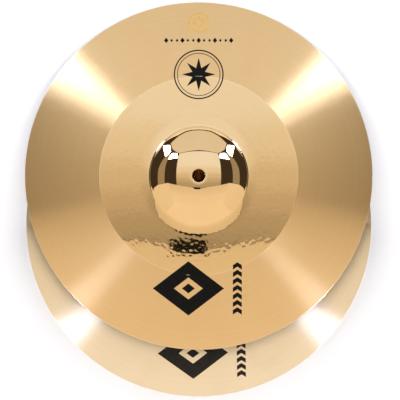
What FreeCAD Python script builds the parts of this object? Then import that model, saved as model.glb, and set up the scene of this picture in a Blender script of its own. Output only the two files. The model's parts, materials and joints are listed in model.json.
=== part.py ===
import FreeCAD, Part
import Sketcher
import math
import os

# A matched pair of hand cymbals. Each is one bronze plate: a domed bell, a short flare at its foot, a bow
# that falls away to the rim, and a strap hole through the middle. The lower plate lies flat on its rim,
# bell up. The upper one is slid to +Y, so that the inside of its bell leans on the lower bell and its far
# rim is on the floor.

doc = FreeCAD.newDocument("hand_cymbals")

# driving dimensions, in millimetres
sizes = {
    "diameter": 406.4,  # across the rim
    "bell_span": 116.5,  # across the bell, where it meets the bow
    "bell_rise": 23.2,  # height of the bell above the bow
    "bow_rise": 24.5,  # height of the bow above the rim
    "bow_radius": 960.0,  # curve of the bow, seen from the side
    "foot_radius": 5.0,  # tight hollow curve at the foot of the bell
    "flare_radius": 80.0,  # wide hollow curve between the foot and the bow
    "flare_width": 12.25,  # from the bell's edge out to where the flare runs into the bow
    "bell_wall": 1.3,  # thickness of the bell
    "edge_wall": 0.9,  # thickness at the rim; the bow tapers between the two
    "strap_hole": 15.0,  # diameter of the hole in the bell
    "hole_round": 0.3,  # rounded lips of the hole
    "rim_round": 0.3,  # rounded corners of the rim
    "slide_out": 60.0,  # the upper plate's middle from the lower one's, seen from above
    "plate_gap": 0.3,  # clearance where the upper plate leans on the lower
}

sheet = doc.addObject("Spreadsheet::Sheet", "Sizes")
for row, (word, value) in enumerate(sizes.items(), start=1):
    sheet.set("A%d" % row, word)
    sheet.set("B%d" % row, str(value))
    sheet.setAlias("B%d" % row, word)
doc.recompute()

rim_radius = sheet.diameter / 2
hole_radius = sheet.strap_hole / 2
bow_top = sheet.edge_wall + sheet.bow_rise
plate_height = bow_top + sheet.bell_rise


def origin_plane(body, role):
    return next(plane for plane in body.Origin.OriginFeatures if plane.Role == role)


def arc_between(centre, start, end):
    """The arc round centre, counter-clockwise from start to end."""
    radius = start.distanceToPoint(centre)
    circle = Part.Circle(centre, FreeCAD.Vector(0, 0, 1), radius)
    angles = [math.atan2(p.y - centre.y, p.x - centre.x) for p in (start, end)]
    return Part.ArcOfCircle(circle, angles[0], angles[1])


def meeting_of_circles(first, first_radius, second, second_radius):
    """Where two circles cross, on the left of the way from the first centre to the second."""
    way = second - first
    apart = way.Length
    along = (apart**2 + first_radius**2 - second_radius**2) / (2 * apart)
    aside = math.sqrt(first_radius**2 - along**2)
    way.normalize()
    return first + way * along + FreeCAD.Vector(-way.y, way.x, 0) * aside


def profile_points():
    """Centres and joints of the half section: x is the distance from the axis, y the height."""
    corner = FreeCAD.Vector(sheet.bell_span / 2, bow_top, 0)
    rim_top = FreeCAD.Vector(rim_radius, sheet.edge_wall, 0)
    rim_under = FreeCAD.Vector(rim_radius, 0, 0)
    crown = FreeCAD.Vector(0, plate_height, 0)

    bell_radius = (corner.x**2 + sheet.bell_rise**2) / (2 * sheet.bell_rise)
    bell = FreeCAD.Vector(0, plate_height - bell_radius, 0)
    bow = meeting_of_circles(rim_top, sheet.bow_radius, corner, sheet.bow_radius)
    flare_reach = sheet.bell_span / 2 + sheet.flare_width
    bow_end_height = bow.y + math.sqrt(sheet.bow_radius**2 - (flare_reach - bow.x) ** 2)
    bow_end = FreeCAD.Vector(flare_reach, bow_end_height, 0)
    to_bow = (bow - bow_end).normalize()
    flare = bow_end - to_bow * sheet.flare_radius
    foot = meeting_of_circles(
        flare, sheet.flare_radius - sheet.foot_radius, bell, bell_radius + sheet.foot_radius
    )

    # the ways down through the wall, where the foot meets the bell and the flare
    to_bell = (bell - foot).normalize()
    to_flare = (foot - flare).normalize()
    bell_end = foot + to_bell * sheet.foot_radius
    flare_end = foot + to_flare * sheet.foot_radius
    bell_end_under = bell_end + to_bell * sheet.bell_wall
    flare_end_under = flare_end + to_flare * sheet.bell_wall
    bow_end_under = bow_end + to_bow * sheet.bell_wall

    # the underside of the bow leaves the flare in line and ends at the rim
    span = bow_end_under - rim_under
    under_radius = -span.Length**2 / (2 * to_bow.dot(span))
    bow_under = bow_end_under + to_bow * under_radius
    return {
        "corner": corner,
        "rim_top": rim_top,
        "rim_under": rim_under,
        "crown": crown,
        "crown_under": crown - FreeCAD.Vector(0, sheet.bell_wall, 0),
        "bell": bell,
        "bow": bow,
        "foot": foot,
        "flare": flare,
        "bow_under": bow_under,
        "bell_end": bell_end,
        "flare_end": flare_end,
        "bow_end": bow_end,
        "bell_end_under": bell_end_under,
        "flare_end_under": flare_end_under,
        "bow_end_under": bow_end_under,
    }


# how the sketcher numbers the points of an arc or a line, and its own two axes
start, end, middle = 1, 2, 3
flat_axis = -1
upright_axis = -2


def bind(sketch, name, constraint, expression):
    """Adds a named dimension to a sketch and ties it to the sheet."""
    index = sketch.addConstraint(constraint)
    sketch.renameConstraint(index, name)
    sketch.setExpression("Constraints." + name, expression)


def draw_profile(sketch):
    """Half section of a plate, from the axis to the rim."""
    at = profile_points()
    root = (flat_axis, start)

    bell = sketch.addGeometry(arc_between(at["bell"], at["bell_end"], at["crown"]))
    foot = sketch.addGeometry(arc_between(at["foot"], at["bell_end"], at["flare_end"]))
    flare = sketch.addGeometry(arc_between(at["flare"], at["flare_end"], at["bow_end"]))
    bow = sketch.addGeometry(arc_between(at["bow"], at["rim_top"], at["bow_end"]))
    rim = sketch.addGeometry(Part.LineSegment(at["rim_top"], at["rim_under"]))
    bow_under = sketch.addGeometry(
        arc_between(at["bow_under"], at["rim_under"], at["bow_end_under"])
    )
    flare_under = sketch.addGeometry(
        arc_between(at["flare"], at["flare_end_under"], at["bow_end_under"])
    )
    foot_under = sketch.addGeometry(
        arc_between(at["foot"], at["bell_end_under"], at["flare_end_under"])
    )
    bell_under = sketch.addGeometry(
        arc_between(at["bell"], at["bell_end_under"], at["crown_under"])
    )
    crown = sketch.addGeometry(Part.LineSegment(at["crown_under"], at["crown"]))
    corner = sketch.addGeometry(Part.Point(at["corner"]), True)
    wall = sketch.addGeometry(Part.LineSegment(at["flare"], at["bow_end"]), True)

    sketch.addConstraint([
        Sketcher.Constraint("Tangent", bell, start, foot, start),
        Sketcher.Constraint("Tangent", foot, end, flare, start),
        Sketcher.Constraint("Tangent", flare, end, bow, end),
        Sketcher.Constraint("Coincident", bow, start, rim, start),
        Sketcher.Constraint("Coincident", rim, end, bow_under, start),
        Sketcher.Constraint("Tangent", bow_under, end, flare_under, end),
        Sketcher.Constraint("Tangent", flare_under, start, foot_under, end),
        Sketcher.Constraint("Tangent", foot_under, start, bell_under, start),
        Sketcher.Constraint("Coincident", bell_under, end, crown, start),
        Sketcher.Constraint("Coincident", crown, end, bell, end),
        Sketcher.Constraint("PointOnObject", bell, middle, upright_axis),
        Sketcher.Constraint("Coincident", bell, middle, bell_under, middle),
        Sketcher.Constraint("Coincident", foot, middle, foot_under, middle),
        Sketcher.Constraint("Coincident", flare, middle, flare_under, middle),
        Sketcher.Constraint("PointOnObject", crown, start, upright_axis),
        Sketcher.Constraint("PointOnObject", crown, end, upright_axis),
        Sketcher.Constraint("Vertical", rim),
        Sketcher.Constraint("PointOnObject", rim, end, flat_axis),
        Sketcher.Constraint("PointOnObject", corner, start, bell),
        Sketcher.Constraint("PointOnObject", corner, start, bow),
        Sketcher.Constraint("Coincident", wall, start, flare, middle),
        Sketcher.Constraint("Coincident", wall, end, flare, end),
        Sketcher.Constraint("PointOnObject", flare_under, end, wall),
    ])
    bind(
        sketch, "rim_reach",
        Sketcher.Constraint("DistanceX", *root, rim, end, rim_radius),
        "Sizes.diameter / 2",
    )
    bind(
        sketch, "rim_wall",
        Sketcher.Constraint("DistanceY", rim, end, rim, start, sheet.edge_wall),
        "Sizes.edge_wall",
    )
    bind(
        sketch, "crown_height",
        Sketcher.Constraint("DistanceY", *root, crown, end, plate_height),
        "Sizes.edge_wall + Sizes.bow_rise + Sizes.bell_rise",
    )
    bind(
        sketch, "bell_reach",
        Sketcher.Constraint("DistanceX", *root, corner, start, sheet.bell_span / 2),
        "Sizes.bell_span / 2",
    )
    bind(
        sketch, "bow_height",
        Sketcher.Constraint("DistanceY", *root, corner, start, bow_top),
        "Sizes.edge_wall + Sizes.bow_rise",
    )
    bind(
        sketch, "bow_curve",
        Sketcher.Constraint("Radius", bow, sheet.bow_radius),
        "Sizes.bow_radius",
    )
    bind(
        sketch, "foot_curve",
        Sketcher.Constraint("Radius", foot, sheet.foot_radius),
        "Sizes.foot_radius",
    )
    bind(
        sketch, "flare_curve",
        Sketcher.Constraint("Radius", flare, sheet.flare_radius),
        "Sizes.flare_radius",
    )
    bind(
        sketch, "flare_reach",
        Sketcher.Constraint("DistanceX", *root, flare, end, sheet.bell_span / 2 + sheet.flare_width),
        "Sizes.bell_span / 2 + Sizes.flare_width",
    )
    bind(
        sketch, "bell_thickness",
        Sketcher.Constraint("Distance", flare, end, flare_under, end, sheet.bell_wall),
        "Sizes.bell_wall",
    )


def edges_of_radius(shape, radius):
    """Names of the round edges of one radius."""
    names = []
    same = 1e-4
    for number, edge in enumerate(shape.Edges, start=1):
        if isinstance(edge.Curve, Part.Circle) and abs(edge.Curve.Radius - radius) < same:
            names.append("Edge%d" % number)
    return names


def make_plate(label):
    """One cymbal, in its own frame: rim on the ground plane, axis upright."""
    body = doc.addObject("PartDesign::Body", label)
    body.Label = label

    profile = body.newObject("Sketcher::SketchObject", label + "_profile")
    profile.AttachmentSupport = [(origin_plane(body, "XZ_Plane"), "")]
    profile.MapMode = "FlatFace"
    draw_profile(profile)
    doc.recompute()

    plate = body.newObject("PartDesign::Revolution", label + "_plate")
    plate.Profile = profile
    plate.ReferenceAxis = (profile, ["V_Axis"])
    plate.Angle = 360
    profile.Visibility = False
    doc.recompute()
    whole = body.Shape.Volume

    hole_outline = body.newObject("Sketcher::SketchObject", label + "_hole_outline")
    hole_outline.AttachmentSupport = [(origin_plane(body, "XY_Plane"), "")]
    hole_outline.MapMode = "FlatFace"
    ring = hole_outline.addGeometry(Part.Circle(FreeCAD.Vector(), FreeCAD.Vector(0, 0, 1), hole_radius))
    hole_outline.addConstraint(Sketcher.Constraint("Coincident", ring, middle, flat_axis, start))
    bind(
        hole_outline, "hole_width",
        Sketcher.Constraint("Diameter", ring, sheet.strap_hole),
        "Sizes.strap_hole",
    )
    doc.recompute()

    hole = body.newObject("PartDesign::Pocket", label + "_hole")
    hole.Profile = hole_outline
    hole.Type = "ThroughAll"
    hole.Reversed = True
    hole_outline.Visibility = False
    doc.recompute()
    if not body.Shape.Volume < whole:
        raise RuntimeError(label + ": the strap hole cuts nothing")

    lips = body.newObject("PartDesign::Fillet", label + "_hole_lips")
    lips.Base = (hole, edges_of_radius(hole.Shape, hole_radius))
    lips.setExpression("Radius", "Sizes.hole_round")
    doc.recompute()

    corners = body.newObject("PartDesign::Fillet", label + "_rim_corners")
    corners.Base = (lips, edges_of_radius(lips.Shape, rim_radius))
    corners.setExpression("Radius", "Sizes.rim_round")
    doc.recompute()
    body.Tip = corners
    return body


def set_down(body, tilt, middle_y):
    """Stands a plate on the floor at middle_y, its axis leaning towards +Y by tilt degrees."""
    turn = FreeCAD.Rotation(FreeCAD.Vector(1, 0, 0), -tilt)
    body.Placement = FreeCAD.Placement(FreeCAD.Vector(0, middle_y, 0), turn)
    lowest = body.Shape.optimalBoundingBox(False, False).ZMin
    body.Placement.Base = FreeCAD.Vector(0, middle_y, -lowest)


def rest_on(lower, upper, middle_y):
    """Leans the upper plate on the lower one, plate_gap clear of it, and returns its tilt in degrees."""
    tilt = 20.0  # well clear of the lower plate
    lever = 2 * rim_radius  # longer than the real one, so that the plates never cross on the way
    close = 0.002
    most_steps = 60
    for step in range(most_steps):
        set_down(upper, tilt, middle_y)
        spare = lower.Shape.distToShape(upper.Shape)[0] - sheet.plate_gap
        if abs(spare) < close:
            return tilt
        tilt -= math.degrees(spare / lever)
    raise RuntimeError("the upper plate finds no rest")


lower = make_plate("lower_cymbal")
upper = make_plate("upper_cymbal")
doc.recompute()

# the pair's middle is the origin; the lean brings the upper rim in a little, which is made up here
set_down(lower, 0, -sheet.slide_out / 2)
tilt = rest_on(lower, upper, sheet.slide_out / 2)
far_side = upper.Shape.optimalBoundingBox(False, False).YMax
near_side = -sheet.slide_out / 2 - rim_radius
shift = -(far_side + near_side) / 2
for body in (lower, upper):
    body.Placement.Base = body.Placement.Base + FreeCAD.Vector(0, shift, 0)
doc.recompute()

bodies = [lower, upper]
for item in doc.Objects:
    if "Invalid" in item.State or "Error" in item.State:
        raise RuntimeError(item.Name + " failed: " + str(item.State))
for body in bodies:
    if body.Shape.isNull() or not body.Shape.isValid() or len(body.Shape.Solids) != 1:
        raise RuntimeError(body.Label + " isn't one sound solid")

os.makedirs("parts", exist_ok=True)
for body in bodies:
    body.Shape.exportStep("parts/" + body.Label + ".step")

gap = lower.Shape.distToShape(upper.Shape)[0]
print("tilt %.3f degrees, gap %.3f mm" % (tilt, gap))
for body in bodies:
    box = body.Shape.optimalBoundingBox(False, False)
    crown = body.Placement.multVec(FreeCAD.Vector(0, 0, plate_height - sheet.bell_wall / 2))
    axis = body.Placement.Rotation.multVec(FreeCAD.Vector(0, 0, 1))
    print(body.Label, "volume %.0f mm3" % body.Shape.Volume)
    print("  x %.3f to %.3f, y %.3f to %.3f, z %.3f to %.3f" % (
        box.XMin, box.XMax, box.YMin, box.YMax, box.ZMin, box.ZMax
    ))
    print("  strap hole at %.3f, %.3f, %.3f, axis %.5f, %.5f, %.5f" % (*crown, *axis))
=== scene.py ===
import bmesh
import bpy
import json
import math
import numpy as np
from mathutils import Matrix, Vector


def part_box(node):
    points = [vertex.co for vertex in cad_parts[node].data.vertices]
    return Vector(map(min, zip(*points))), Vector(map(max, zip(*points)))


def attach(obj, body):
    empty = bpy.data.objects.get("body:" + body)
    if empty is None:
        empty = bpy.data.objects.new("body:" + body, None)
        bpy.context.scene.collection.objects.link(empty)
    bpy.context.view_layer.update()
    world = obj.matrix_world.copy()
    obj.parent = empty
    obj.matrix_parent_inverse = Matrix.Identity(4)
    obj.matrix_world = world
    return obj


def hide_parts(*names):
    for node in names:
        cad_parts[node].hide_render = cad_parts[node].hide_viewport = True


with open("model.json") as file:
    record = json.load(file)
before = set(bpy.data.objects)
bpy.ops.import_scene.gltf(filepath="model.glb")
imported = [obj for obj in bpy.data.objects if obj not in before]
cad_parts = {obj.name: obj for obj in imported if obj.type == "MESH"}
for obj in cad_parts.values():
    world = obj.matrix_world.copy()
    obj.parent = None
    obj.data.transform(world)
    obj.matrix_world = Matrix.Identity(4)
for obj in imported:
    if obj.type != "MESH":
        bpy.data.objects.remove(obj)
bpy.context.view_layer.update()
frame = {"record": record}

mm = 0.001
record = frame["record"]
mounts = {mount["name"]: mount for mount in record["mounts"]}

# one cymbal cut through its axis, in mm
section = {
    "rimRadius": (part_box("lower_cymbal")[1][0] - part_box("lower_cymbal")[0][0]) / mm / 2,
    "holeRadius": mounts["upper_strap_hole"]["dims"]["r_mm"],
    "holeRound": 0.3,  # rounding of the hole's two edges
    "bellSpan": 116.5,
    "bellRise": 23.2,
    "bowRise": 24.5,
    "bowRadius": 960.0,
    "footRadius": 5.0,
    "flareRadius": 80.0,
    "flareWidth": 12.25,
    "bellWall": 1.3,
    "edgeWall": 0.9,
    "lipWidth": 3.0,  # the metal round the hole is rolled down a little by the punch
    "lipDrop": 0.3,
    "bellTo": 60.0,  # where the polished bell ends
    "shoulderTo": 116.0,  # where the hammered shoulder ends and the lathed bow begins
    "shoulderStep": 0.05,  # how far the bow's lathed surface lies below the shoulder's
    "stepWidth": 0.6,
    "stepFade": 14.0,
    "endRound": 0.35,  # how far the rim and the hole's wall bulge
    "endPoints": 9,
    "turns": 432,  # steps round the axis
}

# rows of hammer dents, in mm: radii of the first and last row, spacing, size and depth of a dent
shoulderHammering = {"seed": 3, "first": 68.0, "last": 114.0, "rowGap": 4.2, "along": 4.8,
                     "size": (2.4, 3.6), "depth": (0.012, 0.05), "scatter": 0.36}
bowHammering = {"seed": 8, "first": 122.0, "last": 196.0, "rowGap": 10.5, "along": 12.5,
                "size": (5.5, 9.0), "depth": (0.012, 0.05), "scatter": 0.34}


def circleMeeting(first, firstRadius, second, secondRadius):
    way = second - first
    apart = np.linalg.norm(way)
    along = (apart**2 + firstRadius**2 - secondRadius**2) / (2 * apart)
    aside = math.sqrt(firstRadius**2 - along**2)
    way = way / apart
    return first + way * along + np.array((-way[1], way[0])) * aside


def sectionArcs():
    # centres and radii of bell, foot, flare and bow, and where they meet; x is the radius, y the height
    bellRise, wall = section["bellRise"], section["bellWall"]
    bowRadius, flareRadius, footRadius = section["bowRadius"], section["flareRadius"], section["footRadius"]
    bowTop = section["edgeWall"] + section["bowRise"]
    corner = np.array((section["bellSpan"] / 2, bowTop))
    rimTop = np.array((section["rimRadius"], section["edgeWall"]))
    rimUnder = np.array((section["rimRadius"], 0.0))
    bellRadius = (corner[0] ** 2 + bellRise**2) / (2 * bellRise)
    bell = np.array((0.0, bowTop + bellRise - bellRadius))
    bow = circleMeeting(rimTop, bowRadius, corner, bowRadius)
    flareReach = section["bellSpan"] / 2 + section["flareWidth"]
    bowEnd = np.array((flareReach, bow[1] + math.sqrt(bowRadius**2 - (flareReach - bow[0]) ** 2)))
    toBow = (bow - bowEnd) / bowRadius
    flare = bowEnd - toBow * flareRadius
    foot = circleMeeting(flare, flareRadius - footRadius, bell, bellRadius + footRadius)
    toBell = (bell - foot) / np.linalg.norm(bell - foot)
    toFlare = (foot - flare) / np.linalg.norm(foot - flare)
    bowEndUnder = bowEnd + toBow * wall
    span = bowEndUnder - rimUnder
    underRadius = -(span @ span) / (2 * toBow @ span)
    return {
        "bell": bell, "bellRadius": bellRadius, "foot": foot, "flare": flare, "bow": bow,
        "bowUnder": bowEndUnder + toBow * underRadius, "underRadius": underRadius,
        "bellEnd": foot + toBell * footRadius,
        "flareEnd": foot + toFlare * footRadius,
        "bowEnd": bowEnd,
        "bellEndUnder": foot + toBell * (footRadius + wall),
        "flareEndUnder": foot + toFlare * (footRadius + wall),
        "bowEndUnder": bowEndUnder,
    }


arcs = sectionArcs()


def lipDip(r):
    reach = section["holeRadius"] + section["lipWidth"]
    share = np.clip((reach - r) / section["lipWidth"], 0, 1)
    return section["lipDrop"] * share**2


def arcHeight(centre, radius, r, sign=1):
    return centre[1] + sign * np.sqrt(np.maximum(radius**2 - (r - centre[0]) ** 2, 0))


def topHeight(r):
    r = np.asarray(r, float)
    height = arcHeight(arcs["bow"], section["bowRadius"], r)
    flare = arcHeight(arcs["flare"], section["flareRadius"], r, -1)
    foot = arcHeight(arcs["foot"], section["footRadius"], r, -1)
    bell = arcHeight(arcs["bell"], arcs["bellRadius"], r)
    for end, part in (("bowEnd", flare), ("flareEnd", foot), ("bellEnd", bell)):
        height = np.where(r < arcs[end][0], part, height)
    step = section["shoulderStep"] * np.clip((section["shoulderTo"] - r) / section["stepWidth"], -1, 0)
    fade = np.clip((section["shoulderTo"] + section["stepFade"] - r) / section["stepFade"], 0, 1)
    return height - lipDip(r) + step * fade


def underHeight(r):
    r = np.asarray(r, float)
    wall = section["bellWall"]
    height = arcHeight(arcs["bowUnder"], arcs["underRadius"], r)
    flare = arcHeight(arcs["flare"], section["flareRadius"] + wall, r, -1)
    foot = arcHeight(arcs["foot"], section["footRadius"] + wall, r, -1)
    bell = arcHeight(arcs["bell"], arcs["bellRadius"] - wall, r)
    for end, part in (("bowEndUnder", flare), ("flareEndUnder", foot), ("bellEndUnder", bell)):
        height = np.where(r < arcs[end][0], part, height)
    return height - lipDip(r)


def hammerRows(dents):
    rng = np.random.default_rng(dents["seed"])
    rows = []
    for radius in np.arange(dents["first"], dents["last"], dents["rowGap"]):
        count = int(2 * math.pi * radius / dents["along"])
        pitch = 2 * math.pi / count
        wander = dents["scatter"]
        rows.append({
            "radius": radius + rng.uniform(-wander, wander, count) * dents["rowGap"],
            "angle": (np.arange(count) + rng.uniform(-wander, wander, count)) * pitch + rng.uniform(0, pitch),
            "size": rng.uniform(*dents["size"], count),
            "depth": rng.uniform(*dents["depth"], count),
        })
    return rows


hammering = hammerRows(shoulderHammering) + hammerRows(bowHammering)


def hammerOffset(x, y):
    # change of height that the dents make at x, y, which is downward and so negative
    r = np.hypot(x, y)
    angle = np.arctan2(y, x) % (2 * math.pi)
    offset = np.zeros_like(r)
    for row in hammering:
        count = len(row["angle"])
        near = np.nonzero(np.abs(r - row["radius"].mean()) < row["size"].max() * 2)[0]
        nearest = np.floor(angle[near] / (2 * math.pi) * count).astype(int)
        for side in (-2, -1, 0, 1, 2):
            dent = (nearest + side) % count
            turn = (angle[near] - row["angle"][dent] + math.pi) % (2 * math.pi) - math.pi
            apart = np.hypot(r[near] - row["radius"][dent], r[near] * turn)
            share = np.clip(apart / row["size"][dent], 0, 1)
            offset[near] -= row["depth"][dent] * (0.5 + 0.5 * np.cos(math.pi * share))
    return offset


def surfaceHeight(x, y):
    return topHeight(np.hypot(x, y)) + hammerOffset(x, y)


def stepsBetween(start, end, step):
    count = max(int(round(abs(end - start) / step)), 1)
    return list(np.linspace(start, end, count, endpoint=False))


def roundedEnd(outer, reach, upper, lower):
    # half round from the upper surface to the lower one, bulging by reach
    turn = np.linspace(0, math.pi, section["endPoints"])
    middle, half = (upper + lower) / 2, (upper - lower) / 2
    return [(outer + reach * math.sin(t), middle + half * math.cos(t)) for t in turn]


def sectionLoop():
    # stations (radius, height, zone) once round the wall: top outward, rim, underside inward, hole
    rim, hole, bulge = section["rimRadius"], section["holeRadius"], section["endRound"]
    rimStart, holeStart, lipEnd = rim - bulge, hole + bulge, hole + section["lipWidth"]
    bellEnd, shoulder, step = section["bellTo"], section["shoulderTo"], section["stepWidth"]
    rimInner, rimOuter = rim - 1.0, rim - 0.6  # last two stations before the rounded rim
    footInner, footOuter = 54.0, 59.5  # finer steps under the bell's foot
    footTop = 55.0  # and above it, from here to the end of the bell
    bowInner = 66.0
    top = (
        stepsBetween(holeStart, lipEnd, 0.45)
        + stepsBetween(lipEnd, footTop, 1.5)
        + stepsBetween(footTop, bellEnd, 0.42)
        + stepsBetween(bellEnd, shoulder - 0.4, 1.0)
        + [shoulder - 0.4, shoulder, shoulder + step / 2, shoulder + step]
        + stepsBetween(shoulder + 2 * step, rimInner, 1.8)
        + [rimInner, rimOuter]
    )
    under = (
        [rimOuter, rimInner]
        + stepsBetween(rim - 2.0, bowInner, 5.0)
        + stepsBetween(bowInner, footOuter, 2.2)
        + stepsBetween(footOuter, footInner, 0.6)
        + stepsBetween(footInner, lipEnd, 3.6)
        + stepsBetween(lipEnd, holeStart, 0.8)
    )
    zones = [(lipEnd, "hole"), (bellEnd, "bell"), (shoulder, "shoulder"), (rim, "bow")]
    loop = [(r, float(topHeight(r)), next(zone for end, zone in zones if r < end)) for r in top]
    cap = roundedEnd(rimStart, bulge, float(topHeight(rimStart)), float(underHeight(rimStart)))
    loop += [(r, z, "rim") for r, z in cap]
    loop += [(r, float(underHeight(r)), "under") for r in under]
    cap = roundedEnd(holeStart, -bulge, float(underHeight(holeStart)), float(topHeight(holeStart)))
    loop += [(r, z, "hole") for r, z in cap[:-1]]
    return loop


def boreMiddle():
    # height of the middle of the hole's straight wall, which is where the record places its mount
    hole = section["holeRadius"]
    middle = 0.0
    for radius, sign in ((arcs["bellRadius"], 1), (arcs["bellRadius"] - section["bellWall"], -1)):
        corner = math.pi / 2 - sign * math.asin(hole / radius)
        edge = arcs["bell"][1] + math.sqrt(radius**2 - hole**2)
        middle += (edge - sign * section["holeRound"] / math.tan(corner / 2)) / 2
    return middle


def cymbalFrame(mountName):
    # the cymbal's own frame in metres: origin at the centre of its rim, Z along its axis, X shared
    mount = mounts[mountName]
    axis = Vector(mount["axis"]).normalized()
    axis = axis if axis.z > 0 else -axis
    across = Vector((1, 0, 0))
    ahead = axis.cross(across)
    origin = Vector(mount["pos_m"]) - axis * boreMiddle() * mm
    turned = Matrix((across, ahead, axis)).transposed().to_4x4()
    return Matrix.Translation(origin) @ turned


cymbalFrames = {"upper": cymbalFrame("upper_strap_hole"), "lower": cymbalFrame("lower_strap_hole")}


# node helpers


def addNode(tree, kind, **settings):
    node = tree.nodes.new(kind)
    for key, value in settings.items():
        setattr(node, key, value)
    return node


def feed(tree, socket, value):
    # value is another node's socket, or a number or colour kept on this one
    if isinstance(value, bpy.types.NodeSocket):
        tree.links.new(value, socket)
    elif hasattr(value, "__len__") and socket.type == "RGBA" and len(value) == 3:
        socket.default_value = (*value, 1.0)
    else:
        socket.default_value = value


def calculate(tree, operation, first, second=None, third=None, clamp=False):
    node = addNode(tree, "ShaderNodeMath", operation=operation, use_clamp=clamp)
    for socket, value in zip(node.inputs, (first, second, third)):
        if value is not None:
            feed(tree, socket, value)
    return node.outputs[0]


def mixColour(tree, share, first, second, blend="MIX"):
    node = addNode(tree, "ShaderNodeMix", data_type="RGBA", blend_type=blend)
    feed(tree, node.inputs[0], share)
    feed(tree, node.inputs[6], first)
    feed(tree, node.inputs[7], second)
    return node.outputs[2]


def stretch(tree, value, low, high, newLow, newHigh):
    node = addNode(tree, "ShaderNodeMapRange", interpolation_type="SMOOTHSTEP")
    for socket, amount in zip(node.inputs, (value, low, high, newLow, newHigh)):
        feed(tree, socket, amount)
    return node.outputs[0]


def startGroup(name, inputs, outputs):
    tree = bpy.data.node_groups.new(name, "ShaderNodeTree")
    kinds = {"colour": "NodeSocketColor", "value": "NodeSocketFloat"}
    for label, kind in inputs.items():
        tree.interface.new_socket(name=label, in_out="INPUT", socket_type=kinds[kind])
    for label, kind in outputs.items():
        tree.interface.new_socket(name=label, in_out="OUTPUT", socket_type=kinds[kind])
    return tree, addNode(tree, "NodeGroupInput").outputs, addNode(tree, "NodeGroupOutput").inputs


def placeGroup(tree, name, values):
    node = addNode(tree, "ShaderNodeGroup", node_tree=groups[name])
    for label, value in values.items():
        feed(tree, node.inputs[label], value)
    return node.outputs


def ownPlace(tree):
    # the place in the cymbal's own frame, in mm
    return addNode(tree, "ShaderNodeAttribute", attribute_name="cymbalPlace").outputs["Vector"]


def axisDistance(tree, place):
    flat = addNode(tree, "ShaderNodeVectorMath", operation="MULTIPLY")
    feed(tree, flat.inputs[0], place)
    flat.inputs[1].default_value = (1, 1, 0)
    length = addNode(tree, "ShaderNodeVectorMath", operation="LENGTH")
    feed(tree, length.inputs[0], flat.outputs[0])
    return length.outputs["Value"]


def noise(tree, place, size, detail=2.0, roughness=0.5):
    # 3D noise whose patches are about size mm across
    node = addNode(tree, "ShaderNodeTexNoise")
    feed(tree, node.inputs["Vector"], place)
    feed(tree, node.inputs["Scale"], calculate(tree, "DIVIDE", 1.0, size))
    node.inputs["Detail"].default_value = detail
    node.inputs["Roughness"].default_value = roughness
    return node.outputs["Fac"]


# what the shared effects are made of: sizes of their patches in mm, and the tint of the turning passes
effects = {"wanderPatch": 55.0, "wander": 0.6, "breakPatch": 9.0, "speck": 1.1, "raggedPatch": 6.0,
           "passTint": (0.9, 0.86, 0.8)}


def latheLinesGroup():
    # rings round the axis, as a turning tool leaves them: fine grooves over broader passes
    tree, given, out = startGroup(
        "latheLines",
        {"Groove Pitch": "value", "Pass Width": "value", "Pass Share": "value", "Breaks": "value"},
        {"Height": "value", "Shade": "value"},
    )
    place = ownPlace(tree)
    wander = calculate(tree, "MULTIPLY", noise(tree, place, effects["wanderPatch"]), effects["wander"])
    bent = calculate(tree, "ADD", axisDistance(tree, place), wander)
    rings = []
    for label in ("Groove Pitch", "Pass Width"):
        ring = addNode(tree, "ShaderNodeTexNoise", noise_dimensions="1D")
        feed(tree, ring.inputs["W"], calculate(tree, "DIVIDE", bent, given[label]))
        ring.inputs["Scale"].default_value = 1.0
        ring.inputs["Detail"].default_value = 1.5
        rings.append(ring.outputs["Fac"])
    share = given["Pass Share"]
    fine = calculate(tree, "MULTIPLY", rings[0], calculate(tree, "SUBTRACT", 1.0, share))
    height = calculate(tree, "ADD", fine, calculate(tree, "MULTIPLY", rings[1], share))
    faintest = calculate(tree, "SUBTRACT", 1.0, given["Breaks"])
    broken = stretch(tree, noise(tree, place, effects["breakPatch"]), 0.35, 0.6, faintest, 1.0)
    height = calculate(tree, "MULTIPLY", height, broken)
    feed(tree, out["Height"], height)
    feed(tree, out["Shade"], stretch(tree, rings[1], 0.3, 0.7, 0.0, 1.0))
    return tree


def patchyToneGroup():
    # slow changes of colour over the surface, warmer patches and a hint of the turning passes
    tree, given, out = startGroup(
        "patchyTone",
        {"Metal": "colour", "Warm": "colour", "Patch Size": "value", "Amount": "value", "Rings": "value"},
        {"Color": "colour"},
    )
    patches = noise(tree, ownPlace(tree), given["Patch Size"], 3.0)
    warmth = stretch(tree, patches, 0.35, 0.68, 0.0, 1.0)
    share = calculate(tree, "MULTIPLY", warmth, given["Amount"], clamp=True)
    toned = mixColour(tree, share, given["Metal"], given["Warm"])
    deeper = mixColour(tree, 1.0, toned, effects["passTint"], "MULTIPLY")
    feed(tree, out["Color"], mixColour(tree, given["Rings"], toned, deeper))
    return tree


def handlingGroup():
    # roughness with wiped streaks, dull finger marks and specks of dust
    tree, given, out = startGroup(
        "handling",
        {"Roughness": "value", "Smudges": "value", "Specks": "value", "Smudge Size": "value"},
        {"Roughness": "value", "Speck Mask": "value"},
    )
    place = ownPlace(tree)
    marks = stretch(tree, noise(tree, place, given["Smudge Size"], 4.0, 0.6), 0.5, 0.75, 0.0, 1.0)
    specks = stretch(tree, noise(tree, place, effects["speck"], 1.0), 0.74, 0.82, 0.0, 1.0)
    dull = calculate(tree, "MULTIPLY_ADD", marks, given["Smudges"], given["Roughness"])
    feed(tree, out["Roughness"], calculate(tree, "MULTIPLY_ADD", specks, given["Specks"], dull))
    feed(tree, out["Speck Mask"], specks)
    return tree


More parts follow.
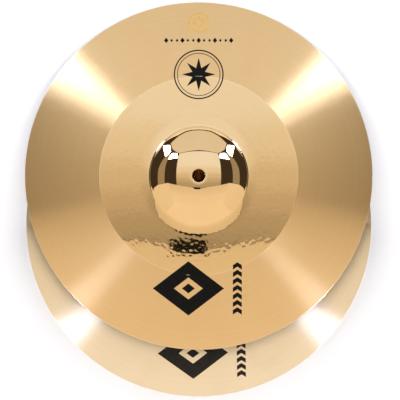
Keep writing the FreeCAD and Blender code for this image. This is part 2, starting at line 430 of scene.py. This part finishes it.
def edgeWearGroup():
    # mask that rises to 1 at a worn edge, which is at the given distance from the axis
    tree, given, out = startGroup(
        "edgeWear", {"Edge Radius": "value", "Width": "value", "Raggedness": "value"}, {"Mask": "value"}
    )
    place = ownPlace(tree)
    ragged = calculate(tree, "MULTIPLY", noise(tree, place, effects["raggedPatch"], 3.0), given["Raggedness"])
    away = calculate(tree, "SUBTRACT", axisDistance(tree, place), given["Edge Radius"])
    away = calculate(tree, "ADD", calculate(tree, "ABSOLUTE", away), ragged)
    near = calculate(tree, "SUBTRACT", 1.0, calculate(tree, "DIVIDE", away, given["Width"]))
    feed(tree, out["Mask"], calculate(tree, "MAXIMUM", near, 0.0, clamp=True))
    return tree


groups = {
    "latheLines": latheLinesGroup(),
    "patchyTone": patchyToneGroup(),
    "handling": handlingGroup(),
    "edgeWear": edgeWearGroup(),
}
print("shader groups:", len(groups))

wornEdge = {"colour": (0.93, 0.76, 0.52), "raggedness": 1.2}  # an edge that handling keeps bright
acrossGrooves = 0.25  # a quarter turn, so that lights spread at right angles to the turned lines

# one row per finish of the bronze; lengths in mm, bump is the depth of the lines
finishes = {
    "polishedBell": {
        "metal": (0.86, 0.62, 0.35), "warm": (0.84, 0.57, 0.28), "patch": 30.0, "tone": 0.5, "rings": 0.0,
        "roughness": 0.03, "smudges": 0.02, "specks": 0.04, "smudgeSize": 14.0,
        "groove": 0.5, "pass": 3.0, "passShare": 0.6, "breaks": 0.5, "bump": 0.0003,
        "anisotropic": 0.0, "edge": section["holeRadius"], "edgeWidth": 3.5,
    },
    "hammeredShoulder": {
        "metal": (0.83, 0.585, 0.315), "warm": (0.82, 0.56, 0.285), "patch": 22.0, "tone": 0.4, "rings": 0.12,
        "roughness": 0.045, "smudges": 0.03, "specks": 0.04, "smudgeSize": 18.0,
        "groove": 0.7, "pass": 3.4, "passShare": 0.7, "breaks": 0.6, "bump": 0.0006,
        "anisotropic": 0.0, "edge": section["shoulderTo"], "edgeWidth": 1.6,
    },
    "lathedBow": {
        "metal": (0.885, 0.615, 0.32), "warm": (0.875, 0.59, 0.295), "patch": 48.0, "tone": 0.35,
        "rings": 0.2, "roughness": 0.29, "smudges": 0.035, "specks": 0.03, "smudgeSize": 26.0,
        "groove": 0.55, "pass": 2.6, "passShare": 0.45, "breaks": 0.2, "bump": 0.003,
        "anisotropic": 1.0, "edge": section["rimRadius"], "edgeWidth": 2.2,
    },
    "cutRim": {
        "metal": (0.92, 0.72, 0.46), "warm": (0.88, 0.64, 0.36), "patch": 12.0, "tone": 0.5, "rings": 0.0,
        "roughness": 0.22, "smudges": 0.08, "specks": 0.0, "smudgeSize": 9.0,
        "groove": 0.25, "pass": 0.8, "passShare": 0.5, "breaks": 0.3, "bump": 0.002,
        "anisotropic": 0.0, "edge": section["rimRadius"], "edgeWidth": 1.0,
    },
    "lathedUnderside": {
        "metal": (0.84, 0.62, 0.36), "warm": (0.80, 0.54, 0.27), "patch": 60.0, "tone": 0.6, "rings": 0.45,
        "roughness": 0.40, "smudges": 0.08, "specks": 0.04, "smudgeSize": 30.0,
        "groove": 0.8, "pass": 3.4, "passShare": 0.5, "breaks": 0.25, "bump": 0.006,
        "anisotropic": 0.95, "edge": section["holeRadius"], "edgeWidth": 4.0,
    },
}
# painted light: a paler copy of the lathed bow for the lower cymbal, standing for the brighter light that
# falls on it
finishes["lathedBowPale"] = {
    **finishes["lathedBow"], "metal": (0.99, 0.845, 0.65), "warm": (0.98, 0.82, 0.61), "patch": 52.0}


def startMaterial(name):
    material = bpy.data.materials.new(name)
    material.use_nodes = True
    tree = material.node_tree
    return material, tree, tree.nodes["Principled BSDF"]


def placeTone(tree, finish, rings=0.0):
    return placeGroup(tree, "patchyTone", {
        "Metal": finish["metal"], "Warm": finish["warm"], "Patch Size": finish["patch"],
        "Amount": finish["tone"], "Rings": rings})["Color"]


def placeHandling(tree, finish):
    return placeGroup(tree, "handling", {
        "Roughness": finish["roughness"], "Smudges": finish["smudges"], "Specks": finish["specks"],
        "Smudge Size": finish["smudgeSize"]})


def addBump(tree, shader, depth, height):
    bump = addNode(tree, "ShaderNodeBump")
    bump.inputs["Distance"].default_value = depth * mm
    feed(tree, bump.inputs["Height"], height)
    feed(tree, shader.inputs["Normal"], bump.outputs["Normal"])


def bronzeMaterial(name):
    finish = finishes[name]
    material, tree, shader = startMaterial(name)
    shader.inputs["Metallic"].default_value = 1.0
    lines = placeGroup(tree, "latheLines", {
        "Groove Pitch": finish["groove"], "Pass Width": finish["pass"], "Pass Share": finish["passShare"],
        "Breaks": finish["breaks"]})
    tone = placeTone(tree, finish, calculate(tree, "MULTIPLY", lines["Shade"], finish["rings"]))
    wear = placeGroup(tree, "edgeWear", {
        "Edge Radius": finish["edge"], "Width": finish["edgeWidth"], "Raggedness": wornEdge["raggedness"]})
    feed(tree, shader.inputs["Base Color"], mixColour(tree, wear["Mask"], tone, wornEdge["colour"]))
    feed(tree, shader.inputs["Roughness"], placeHandling(tree, finish)["Roughness"])
    addBump(tree, shader, finish["bump"], lines["Height"])
    if finish["anisotropic"] > 0:
        shader.inputs["Anisotropic"].default_value = finish["anisotropic"]
        shader.inputs["Anisotropic Rotation"].default_value = acrossGrooves
        around = addNode(tree, "ShaderNodeTangent", direction_type="UV_MAP", uv_map="OFBake")
        feed(tree, shader.inputs["Tangent"], around.outputs["Tangent"])
    return material


bronze = {name: bronzeMaterial(name) for name in finishes}
zoneFinish = {"bell": "polishedBell", "shoulder": "hammeredShoulder", "bow": "lathedBow",
              "rim": "cutRim", "under": "lathedUnderside", "hole": "cutRim"}
bowFinish = {"upper": "lathedBow", "lower": "lathedBowPale"}  # the lower bow is a paler copy of the same bronze, painted brighter to stand for the brighter light on the lower cymbal
print("bronze finishes:", len(bronze))


def keepPlace(mesh):
    # stores each point's place in the cymbal's own frame, in mm, for the materials
    place = np.empty(len(mesh.vertices) * 3)
    mesh.vertices.foreach_get("co", place)
    mesh.attributes.new("cymbalPlace", "FLOAT_VECTOR", "POINT").data.foreach_set("vector", place / mm)


def onCymbal(name, mesh, side):
    # makes the piece from a mesh in the cymbal's own frame, and lets it ride on that cymbal
    keepPlace(mesh)
    mesh.transform(cymbalFrames[side])
    piece = bpy.data.objects.new(name, mesh)
    bpy.context.scene.collection.objects.link(piece)
    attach(piece, side + "_cymbal")
    return piece


def cymbalMesh(side):
    loop = sectionLoop()
    stations, turns = len(loop), section["turns"]
    radius = np.array([r for r, z, zone in loop])
    height = np.array([z for r, z, zone in loop])
    onTop = np.array([zone in ("bell", "shoulder", "bow") for r, z, zone in loop])
    angle = np.arange(turns) * 2 * math.pi / turns
    x = radius[:, None] * np.cos(angle)
    y = radius[:, None] * np.sin(angle)
    z = np.repeat(height[:, None], turns, 1)
    z[onTop] += hammerOffset(x[onTop].ravel(), y[onTop].ravel()).reshape(-1, turns)
    points = np.stack((x, y, z), -1).reshape(-1, 3) * mm

    here = np.arange(stations)[:, None] * turns + np.arange(turns)
    onward = np.roll(here, -1, 0)
    corners = np.stack((here, onward, np.roll(onward, -1, 1), np.roll(here, -1, 1)), -1).reshape(-1, 4)
    mesh = bpy.data.meshes.new(side + "Plate")
    mesh.from_pydata(points, [], corners)
    zoneNames = {**zoneFinish, "bow": bowFinish[side]}
    used = sorted(set(zoneNames.values()))
    for name in used:
        mesh.materials.append(bronze[name])
    zoneIndex = np.array([used.index(zoneNames[zone]) for r, z, zone in loop], np.int32)
    mesh.polygons.foreach_set("material_index", np.repeat(zoneIndex, turns))
    mesh.shade_smooth()

    # unrolled map: round the axis across, along the section upward, so the grooves run along its first axis
    run = np.hypot(np.diff(radius, append=radius[0]), np.diff(height, append=height[0]))
    along = np.concatenate(((0.0,), np.cumsum(run)))
    margin = 0.01
    along = margin + (1 - 2 * margin) * along / along[-1]
    u = margin + (1 - 2 * margin) * np.arange(turns + 1) / turns
    left, right = np.tile(u[:-1], stations), np.tile(u[1:], stations)
    low, high = np.repeat(along[:-1], turns), np.repeat(along[1:], turns)
    uv = np.stack((left, low, left, high, right, high, right, low), -1).reshape(-1)
    mesh.uv_layers.new(name="OFBake").data.foreach_set("uv", uv)
    mesh.update()
    return mesh


for side in ("upper", "lower"):
    plate = onCymbal(side + "_plate", cymbalMesh(side), side)
    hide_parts(side + "_cymbal")
    print(plate.name, "has", len(plate.data.polygons), "faces")

# printed marks: lengths in mm; each mark is a thin film of ink that follows the metal
prints = {
    "proud": 0.03,
    "sunk": 0.02,
    "grid": 2.4,  # the film is cut this fine to follow the dents
    "weld": 0.001,
    "emblem": {"centre": (-12.0, -131.0), "width": 83.0, "height": 63.5, "stroke": 15.0, "heart": 0.9},
    "strip": {"centre": (45.0, -131.0), "width": 10.5, "height": 61.5, "count": 7, "fill": 0.6, "rise": 0.32},
    "ornament": {"centre": (0.0, 158.0), "width": 82.0, "height": 6.5, "count": 13, "broadEvery": 3,
                 "broad": (0.82, 1.0), "narrow": (0.5, 0.62)},  # shares of a place's width and height
    "badge": {"centre": (0.0, 118.0), "radius": 29.0, "stroke": 1.5, "innerRadius": 25.2, "innerStroke": 0.8,
              "starPoints": 8, "starRadius": 19.5, "starWaist": 8.0, "steps": 72},
    "stamp": {"centre": (0.0, 179.0), "radius": 12.0, "stroke": 1.6, "petals": 8, "petalFrom": 1.6,
              "petalLength": 7.6, "petalWidth": 3.4, "petalBelly": 0.55, "steps": 48},
    "lowerShift": (2.5, -19.0),  # the lower cymbal lies a little turned, with its marks nearer the rim
    "lowerTurn": 1.0,
}


def ringShape(centre, outer, inner, count):
    # quads between two closed outlines about a centre, given as functions of the turn
    turn = np.arange(count + 1) * 2 * math.pi / count
    outside, inside = [[tuple(np.add(centre, outline(t))) for t in turn] for outline in (outer, inner)]
    return [(outside[i], outside[i + 1], inside[i + 1], inside[i]) for i in range(count)]


def circleOutline(radius):
    return lambda t: (radius * math.cos(t), radius * math.sin(t))


def lozengeOutline(halfWidth, halfHeight):
    def outline(t):
        scale = 1 / (abs(math.cos(t)) / halfWidth + abs(math.sin(t)) / halfHeight)
        return scale * math.cos(t), scale * math.sin(t)
    return outline


def lozenge(centre, width, height):
    x, y = centre
    return [(x + width / 2, y), (x, y + height / 2), (x - width / 2, y), (x, y - height / 2)]


def emblemShape(mark):
    # a broad lozenge ring with a small solid lozenge inside it
    halfWidth, halfHeight = mark["width"] / 2, mark["height"] / 2
    inset = mark["stroke"] / math.cos(math.atan2(halfHeight, halfWidth))
    share = 1 - inset / halfHeight
    ring = ringShape(mark["centre"], lozengeOutline(halfWidth, halfHeight),
                     lozengeOutline(halfWidth * share, halfHeight * share), 4)
    heart = share * mark["heart"]
    return ring + [lozenge(mark["centre"], halfWidth * heart, halfHeight * heart)]


def stripShape(mark):
    # a stack of chevrons
    x, y = mark["centre"]
    pitch = mark["height"] / mark["count"]
    bar, rise, half = pitch * mark["fill"], mark["width"] * mark["rise"], mark["width"] / 2
    faces = []
    for i in range(mark["count"]):
        low = y - mark["height"] / 2 + i * pitch
        for side in (-half, half):
            faces.append([(x, low + rise), (x + side, low), (x + side, low + bar), (x, low + rise + bar)])
    return faces


def ornamentShape(mark):
    # a row of lozenges, some of them broad
    x, y = mark["centre"]
    pitch = mark["width"] / mark["count"]
    faces = []
    for i in range(mark["count"]):
        width, height = mark["broad"] if i % mark["broadEvery"] == 0 else mark["narrow"]
        centre = (x - mark["width"] / 2 + (i + 0.5) * pitch, y)
        faces.append(lozenge(centre, pitch * width, mark["height"] * height))
    return faces


def badgeShape(mark):
    # two rings round a star
    centre, waist = mark["centre"], mark["starWaist"]
    faces = []
    for radius, stroke in ((mark["radius"], mark["stroke"]), (mark["innerRadius"], mark["innerStroke"])):
        faces += ringShape(centre, circleOutline(radius), circleOutline(radius - stroke), mark["steps"])
    x, y = centre
    step = math.pi / mark["starPoints"]
    for i in range(mark["starPoints"]):
        middle = math.pi / 2 + 2 * i * step
        ends = [(middle - step, waist), (middle, mark["starRadius"]), (middle + step, waist)]
        faces.append([(x, y)] + [(x + r * math.cos(t), y + r * math.sin(t)) for t, r in ends])
    return faces


def stampShape(mark):
    # a ring round a rosette of petals
    centre, radius = mark["centre"], mark["radius"]
    faces = ringShape(centre, circleOutline(radius), circleOutline(radius - mark["stroke"]), mark["steps"])
    for i in range(mark["petals"]):
        t = math.pi / 2 + 2 * math.pi * i / mark["petals"]
        along, across = np.array((math.cos(t), math.sin(t))), np.array((-math.sin(t), math.cos(t)))
        start = np.array(centre) + along * mark["petalFrom"]
        middle = start + along * mark["petalLength"] * mark["petalBelly"]
        end = start + along * mark["petalLength"]
        side = across * mark["petalWidth"] / 2
        faces.append([tuple(start), tuple(middle - side), tuple(end), tuple(middle + side)])
    return faces


def closeFilm(bm, thickness):
    # adds the film's own underside and edge, so that it is a closed sheet
    top = bm.faces[:]
    border = [edge for edge in bm.edges if edge.is_boundary]
    below = {v: bm.verts.new((v.co.x, v.co.y, v.co.z - thickness)) for v in bm.verts[:]}
    for edge in border:
        loop = edge.link_loops[0]
        first, second = loop.vert, loop.link_loop_next.vert
        bm.faces.new((second, first, below[first], below[second]))
    for face in top:
        bm.faces.new([below[v] for v in reversed(face.verts)])


def filmMesh(name, faces, shift, turn, material):
    bm = bmesh.new()
    for corners in faces:
        bm.faces.new([bm.verts.new((x, y, 0)) for x, y in corners])
    bmesh.ops.remove_doubles(bm, verts=bm.verts, dist=prints["weld"])
    for axis, normal in enumerate((Vector((1, 0, 0)), Vector((0, 1, 0)))):
        values = [v.co[axis] for v in bm.verts]
        for cut in np.arange(min(values) + prints["grid"] / 2, max(values), prints["grid"]):
            everything = bm.verts[:] + bm.edges[:] + bm.faces[:]
            bmesh.ops.bisect_plane(bm, geom=everything, plane_co=normal * cut, plane_no=normal)
    bm.transform(Matrix.Rotation(turn, 4, "Z") @ Matrix.Translation((*shift, 0)))
    for face in bm.faces:
        face.normal_update()
        if face.normal.z < 0:
            face.normal_flip()
    flat = np.array([v.co[:2] for v in bm.verts])
    base = surfaceHeight(flat[:, 0], flat[:, 1])
    for vertex, z in zip(bm.verts, base):
        vertex.co.z = z + prints["proud"]
    closeFilm(bm, prints["proud"] + prints["sunk"])
    bm.transform(Matrix.Scale(mm, 4))
    mesh = bpy.data.meshes.new(name)
    bm.to_mesh(mesh)
    bm.free()
    mesh.materials.append(material)
    return mesh


# satin ink that thins a little in places; lengths in mm
inkFinish = {"patch": 5.0, "tone": 0.6, "smudges": 0.12, "specks": 0.1, "smudgeSize": 7.0, "specular": 0.13,
             "grain": 0.9, "bump": 0.006}
inks = {
    "upper": {**inkFinish, "metal": (0.0015, 0.0013, 0.001), "warm": (0.005, 0.004, 0.003),
              "rubbed": (0.02, 0.016, 0.012), "roughness": 0.5},
    # painted light: the lower cymbal's ink is a lighter, greyer copy of the same ink, standing for the
    # brighter light on the lower cymbal
    "lower": {**inkFinish, "metal": (0.016, 0.013, 0.009), "warm": (0.028, 0.023, 0.016),
              "rubbed": (0.06, 0.05, 0.036), "roughness": 0.55},
}


def inkMaterial(side):
    finish = inks[side]
    material, tree, shader = startMaterial(side + "PrintingInk")
    handled = placeHandling(tree, finish)
    rubbed = mixColour(tree, handled["Speck Mask"], placeTone(tree, finish), finish["rubbed"])
    feed(tree, shader.inputs["Base Color"], rubbed)
    feed(tree, shader.inputs["Roughness"], handled["Roughness"])
    shader.inputs["Specular IOR Level"].default_value = finish["specular"]
    addBump(tree, shader, finish["bump"], noise(tree, ownPlace(tree), finish["grain"]))
    return material


# bright gold-coloured metal of the pressed rosette, dulled in patches
stamping = {"metal": (0.94, 0.58, 0.15), "warm": (0.82, 0.46, 0.10), "patch": 4.0, "tone": 0.7,
            "roughness": 0.3, "smudges": 0.15, "specks": 0.1, "smudgeSize": 6.0}


def stampMaterial():
    material, tree, shader = startMaterial("stampedGold")
    shader.inputs["Metallic"].default_value = 1.0
    feed(tree, shader.inputs["Base Color"], placeTone(tree, stamping))
    feed(tree, shader.inputs["Roughness"], placeHandling(tree, stamping)["Roughness"])
    return material


stampedGold = stampMaterial()
inkShapes = {"emblem": emblemShape, "strip": stripShape, "ornament": ornamentShape, "badge": badgeShape}
for side in ("upper", "lower"):
    shift = prints["lowerShift"] if side == "lower" else (0, 0)
    turn = math.radians(prints["lowerTurn"]) if side == "lower" else 0.0
    ink = inkMaterial(side)
    marks = {markName: (shape, ink, "ink") for markName, shape in inkShapes.items()}
    marks["stamp"] = (stampShape, stampedGold, "bronze")
    for markName, (shape, material, slotName) in marks.items():
        name = side + "_" + markName
        film = onCymbal(name, filmMesh(name, shape(prints[markName]), shift, turn, material), side)
    print(side, "marks:", len(marks))

# studio: flat glowing cards round the cymbals, placed in mm in the upper cymbal's frame
studio = {
    "ceilingHeight": 776.0,
    "ceilingReach": 558.0,
    "wall": 900.0,  # distance of the upright cards from the axis
    "frontReach": 1000.0,
    "cardGap": 4.0,  # between the ceiling card and the one in front of it
    "key": 7.5,  # strength of the upright key cards, and below of the pair overhead
    "keyOverhead": 14.0,
    "keyTint": (0.84, 0.96, 1.28),
    "ceiling": [  # how far back in mm, and the glow there
        (-290, (0.45, 0.39, 0.30)),
        (-177, (0.55, 0.48, 0.36)),
        (-94, (0.67, 0.58, 0.46)),
        (0, (0.79, 0.71, 0.575)),
        (137, (0.94, 0.91, 0.84)),
        (280, (1.02, 1.06, 1.11)),
    ],
    "front": [  # the same for the card in front of it
        (-1000, (1.06, 0.95, 0.79)),
        (-600, (1.02, 0.90, 0.735)),
        (-240, (0.89, 0.785, 0.62)),
    ],
    "frontWall": (1.06, 0.95, 0.79),
    "frontSide": (0.98, 0.87, 0.70),
    "rear": (0.88, 0.86, 0.83),
    "strip": (0.40, 0.34, 0.25),
    "lowRear": (1.1, 1.05, 1.0),
    "lowFront": 55.0,  # strength of the two small cards low in front
    "lowFrontTint": (0.78, 0.95, 1.5),
    "flag": (0.01, 0.01, 0.01),  # a dark card hung under the ceiling's front edge
    "flagDrop": 10.0,
    "rimShade": {"inner": 206.0, "outer": 220.0, "height": -2.0, "from": 196, "to": 344, "step": 4},
    "floorSize": 14.0,  # metres
    "floorDrop": 0.5,
    "floorColour": (0.95, 0.96, 0.985),
    "floorRoughness": 0.9,
    "floorSpecular": 0.1,
    "background": 0.96,  # the room as the camera sees it
    "reflectedRoom": (0.055, 0.042, 0.030),  # the room as the bronze mirrors it between the cards
    "floorLight": 1.6,  # the room's light on matt surfaces
}


def cardMaterial(name, colour, strength=1.0):
    material = bpy.data.materials.new(name)
    material.use_nodes = True
    tree = material.node_tree
    tree.nodes.clear()
    glow = addNode(tree, "ShaderNodeEmission")
    glow.inputs["Color"].default_value = (*colour, 1)
    glow.inputs["Strength"].default_value = strength
    feed(tree, addNode(tree, "ShaderNodeOutputMaterial").inputs["Surface"], glow.outputs[0])
    return material


def gradedMaterial(name, stops):
    # a glow that changes from front to back through the given colours
    material = cardMaterial(name, (1, 1, 1))
    tree = material.node_tree
    parts = addNode(tree, "ShaderNodeSeparateXYZ")
    feed(tree, parts.inputs[0], addNode(tree, "ShaderNodeTexCoord").outputs["Object"])
    colour = stops[0][1]
    for stop, (end, nextColour) in zip(stops, stops[1:]):
        share = stretch(tree, parts.outputs["Y"], stop[0] * mm, end * mm, 0.0, 1.0)
        colour = mixColour(tree, share, colour, nextColour)
    feed(tree, tree.nodes["Emission"].inputs["Color"], colour)
    return material


def card(name, corners, material):
    mesh = bpy.data.meshes.new(name)
    mesh.from_pydata([Vector(corner) * mm for corner in corners], [], [range(len(corners))])
    mesh.materials.append(material)
    made = bpy.data.objects.new(name, mesh)
    bpy.context.scene.collection.objects.link(made)
    made.matrix_world = cymbalFrames["upper"]
    made.visible_camera = False


def bothSides(name, corners, material):
    # the same card left and right
    for label, side in (("Left", -1), ("Right", 1)):
        card(name + label, [(x * side, y, z) for x, y, z in corners], material)


top, reach, wall, front = (studio[key] for key in ("ceilingHeight", "ceilingReach", "wall", "frontReach"))
frontEdge = [(reach, -225), (240, -238), (150, -256), (90, -276), (0, -284),
             (-90, -276), (-150, -256), (-240, -238), (-reach, -225)]
card("ceilingCard", [(x, y, top) for x, y in [(-reach, 645), (reach, 645)] + frontEdge],
     gradedMaterial("ceilingGlow", studio["ceiling"]))

frontGlow = gradedMaterial("frontGlow", studio["front"])
frontTop = [(x, y - studio["cardGap"], top) for x, y in [(wall, -210)] + frontEdge + [(-wall, -210)]]
card("frontTop", frontTop + [(-wall, -front, top), (wall, -front, top)], frontGlow)
card("frontWall", [(-wall, -front, -60), (wall, -front, -60), (wall, -front, top), (-wall, -front, top)],
     cardMaterial("frontWallGlow", studio["frontWall"]))
bothSides("frontSide", [(wall, -195, 600), (wall, -190, 350), (wall, -240, 190), (wall, -420, 60),
                        (wall, -front, -60), (wall, -front, top), (wall, -205, top)],
          cardMaterial("frontSideGlow", studio["frontSide"]))

bothSides("strip", [(wall, -185, 352), (wall, 165, 373), (wall, 334, 429), (wall, 442, 475),
                    (wall, 576, 575), (wall, 700, 630), (wall, 700, 712), (wall, 451, 650),
                    (wall, 304, 623), (wall, -185, 605)],
          cardMaterial("stripGlow", studio["strip"]))

halfRear = [(0, 204), (92, 204), (251, 213), (450, 272), (780, 393), (800, 488), (880, 700),
            (830, 900), (760, 1050), (500, 1050), (0, 1018)]
card("rearCard", [(x, wall, z) for x, z in halfRear] + [(-x, wall, z) for x, z in halfRear[-2:0:-1]],
     cardMaterial("rearGlow", studio["rear"]))
lowRearGlow = cardMaterial("lowRearGlow", studio["lowRear"])
card("lowRear", [(-wall, wall, 0), (wall, wall, 0), (wall, wall, 190), (450, wall, 225), (250, wall, 178),
                 (-250, wall, 178), (-450, wall, 225), (-wall, wall, 190)], lowRearGlow)
bothSides("lowRearSide", [(wall, 230, 0), (wall, wall, 0), (wall, wall, 190), (wall, 624, 200),
                          (wall, 316, 130)], lowRearGlow)

bothSides("keyOverhead", [(572, 500, top), (1050, 560, top), (1000, 660, top), (925, 790, top),
                          (645, 680, top)],
          cardMaterial("keyOverheadGlow", studio["keyTint"], studio["keyOverhead"]))
bothSides("keyUpright", [(wall, 760, 230), (wall, 790, 240), (wall, 965, 457), (wall, 950, 535),
                         (wall, 790, 660), (wall, 620, 600), (wall, 520, 520)],
          cardMaterial("keyGlow", studio["keyTint"], studio["key"]))
bothSides("lowFront", [(575, -685, -80), (665, -590, -80), (665, -590, 40), (575, -685, 40)],
          cardMaterial("lowFrontGlow", studio["lowFrontTint"], studio["lowFront"]))
flagBlack = cardMaterial("flagBlack", studio["flag"])
flagEdge = ((-118, -246), (30, -250), (34, -296), (-100, -292))
card("flag", [(x, y, top - studio["flagDrop"]) for x, y in flagEdge], flagBlack)


def rimShadeOutline(shade):
    # a narrow arc close under the front of the rim, given by its radii in mm and its turn in degrees
    turns = np.radians(np.arange(shade["from"], shade["to"] + 1, shade["step"]))
    inner = [(math.cos(turn) * shade["inner"], math.sin(turn) * shade["inner"]) for turn in turns]
    outer = [(math.cos(turn) * shade["outer"], math.sin(turn) * shade["outer"]) for turn in reversed(turns)]
    return [(x, y, shade["height"]) for x, y in inner + outer]


# painted shadow: a dark card that darkens what the lower cymbal mirrors close to the upper rim, standing in
# for the upper rim's shadow on it
card("rimShade", rimShadeOutline(studio["rimShade"]), flagBlack)


def floorMaterial():
    # pale and matt
    material, tree, shader = startMaterial("paleFloor")
    shader.inputs["Base Color"].default_value = (*studio["floorColour"], 1)
    shader.inputs["Roughness"].default_value = studio["floorRoughness"]
    shader.inputs["Specular IOR Level"].default_value = studio["floorSpecular"]
    return material


half = studio["floorSize"] / 2
floorCorners = [(-half, -half, 0), (half, -half, 0), (half, half, 0), (-half, half, 0)]
floorMesh = bpy.data.meshes.new("floor")
floorMesh.from_pydata(floorCorners, [], [(0, 1, 2, 3)])
floorMesh.materials.append(floorMaterial())
floor = bpy.data.objects.new("floor", floorMesh)
bpy.context.scene.collection.objects.link(floor)
floor.location.z = -studio["floorDrop"] * mm

world = bpy.data.worlds.new("room")
bpy.context.scene.world = world
world.use_nodes = True
roomTree = world.node_tree
rays = addNode(roomTree, "ShaderNodeLightPath").outputs
pale = (studio["background"],) * 3
fill = (studio["floorLight"],) * 3
seen = mixColour(roomTree, rays["Is Glossy Ray"], fill, studio["reflectedRoom"])
seen = mixColour(roomTree, rays["Is Camera Ray"], seen, pale)
feed(roomTree, roomTree.nodes["Background"].inputs["Color"], seen)
bpy.context.scene.view_settings.view_transform = "Standard"

# camera: on the upper cymbal's axis and looking down it, moved aside to centre the pair
cameraView = {"lens": 250.0, "sensor": 36.0, "clip": 0.05, "width": 467.8, "aside": 1.5, "down": -28.07}
cameraData = bpy.data.cameras.new("camera")
cameraData.lens = cameraView["lens"]
cameraData.sensor_width = cameraView["sensor"]
cameraData.clip_start = cameraView["clip"]
camera = bpy.data.objects.new("camera", cameraData)
bpy.context.scene.collection.objects.link(camera)
distance = cameraView["width"] * mm * cameraView["lens"] / cameraView["sensor"]
camera.matrix_world = cymbalFrames["upper"] @ Matrix.Translation(
    (cameraView["aside"] * mm, cameraView["down"] * mm, distance))
bpy.context.scene.camera = camera
print("studio and camera ready")
